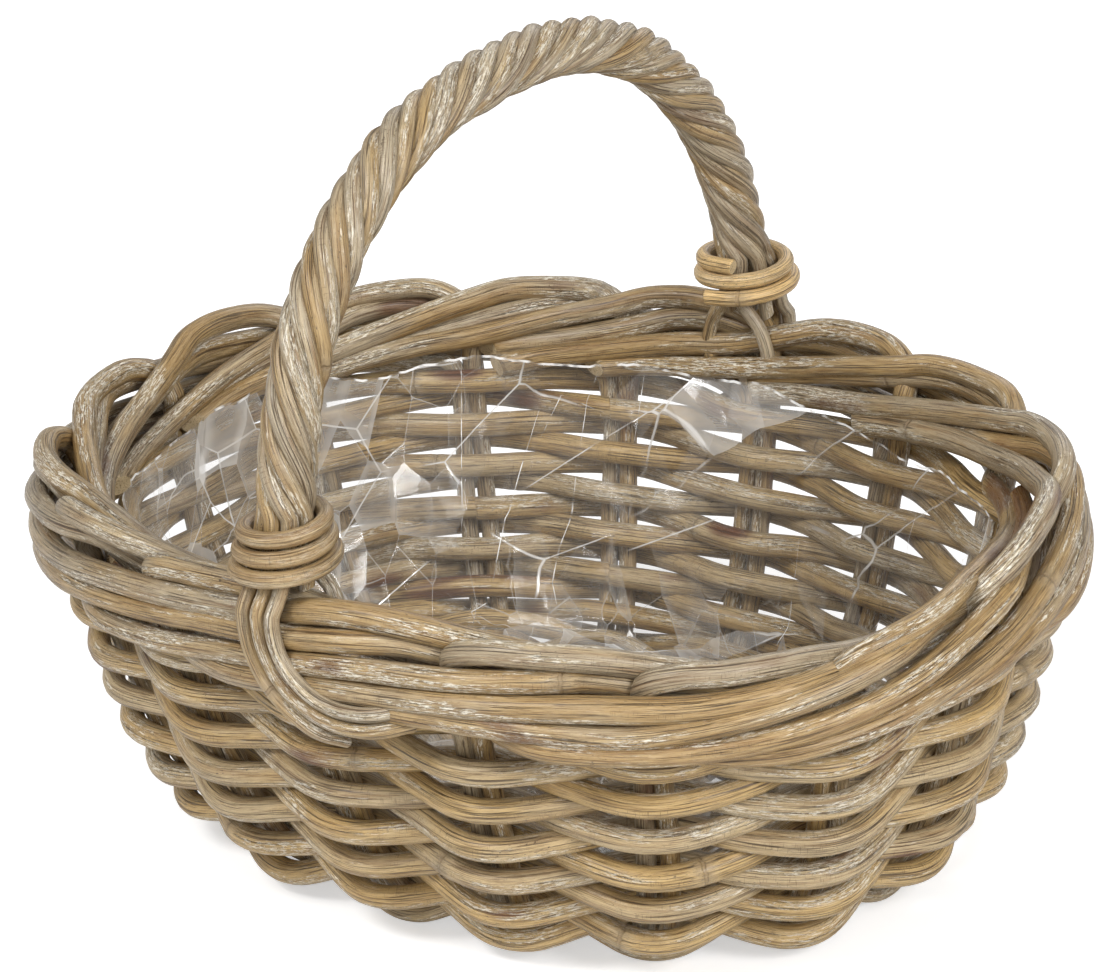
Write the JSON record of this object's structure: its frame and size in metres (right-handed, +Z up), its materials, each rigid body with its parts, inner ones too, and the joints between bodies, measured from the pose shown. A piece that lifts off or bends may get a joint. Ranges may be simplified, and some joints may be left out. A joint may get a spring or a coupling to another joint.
{
  "type": "rattan planter basket",
  "caption": "Oval woven rattan planter basket with a rolled border, a roped cane bow handle across its middle and a clear plastic film liner.",
  "frame": {"origin": "middle of the oval base, on the surface it stands on", "axes": "+X along the basket's length, +Y across it under the bow handle, +Z up"},
  "size_m": [0.3802, 0.3013, 0.2852],
  "materials": {
    "weaver_cane": "weathered cane, satin",
    "rod_cane": "weathered cane, satin",
    "base_cane": "weathered cane, matte",
    "handle_cane": "weathered cane, satin",
    "lashing_cane": "glossy cane skin",
    "clear_film": "clear, glossy, creased"
  },
  "bodies": {
    "root": {"wall_row_01": "weaver_cane", "wall_row_02": "weaver_cane", "wall_row_03": "weaver_cane", "wall_row_04": "weaver_cane", "wall_row_05": "weaver_cane", "wall_row_06": "weaver_cane", "wall_row_07": "weaver_cane", "wall_row_08": "weaver_cane", "wall_row_09": "weaver_cane", "wall_row_10": "weaver_cane", "wall_row_11": "weaver_cane", "wall_row_12": "weaver_cane", "wall_row_13": "weaver_cane", "wall_row_14": "weaver_cane", "base_row_1": "weaver_cane", "base_row_2": "weaver_cane", "cross_rod_1a": "rod_cane", "cross_rod_1b": "rod_cane", "cross_rod_2a": "rod_cane", "cross_rod_2b": "rod_cane", "cross_rod_3a": "rod_cane", "cross_rod_3b": "rod_cane", "cross_rod_4a": "rod_cane", "cross_rod_4b": "rod_cane", "cross_rod_5a": "rod_cane", "cross_rod_5b": "rod_cane", "long_rod_1a": "rod_cane", "long_rod_1b": "rod_cane", "long_rod_2a": "rod_cane", "long_rod_2b": "rod_cane", "long_rod_3a": "rod_cane", "long_rod_3b": "rod_cane", "base_filler_1a": "base_cane", "base_filler_1b": "base_cane", "base_filler_2a": "base_cane", "base_filler_2b": "base_cane", "base_filler_3a": "base_cane", "base_filler_3b": "base_cane", "base_filler_4a": "base_cane", "base_filler_4b": "base_cane", "base_filler_5a": "base_cane", "base_filler_5b": "base_cane", "handle_strand_1": "handle_cane", "handle_strand_2": "handle_cane", "handle_strand_3": "handle_cane", "handle_strand_4": "handle_cane", "handle_strand_5": "handle_cane", "handle_strand_6": "handle_cane", "handle_strand_7": "handle_cane", "handle_core": "handle_cane", "front_lashing": "lashing_cane", "back_lashing": "lashing_cane", "film_liner": "clear_film"}
  },
  "joints": []
}
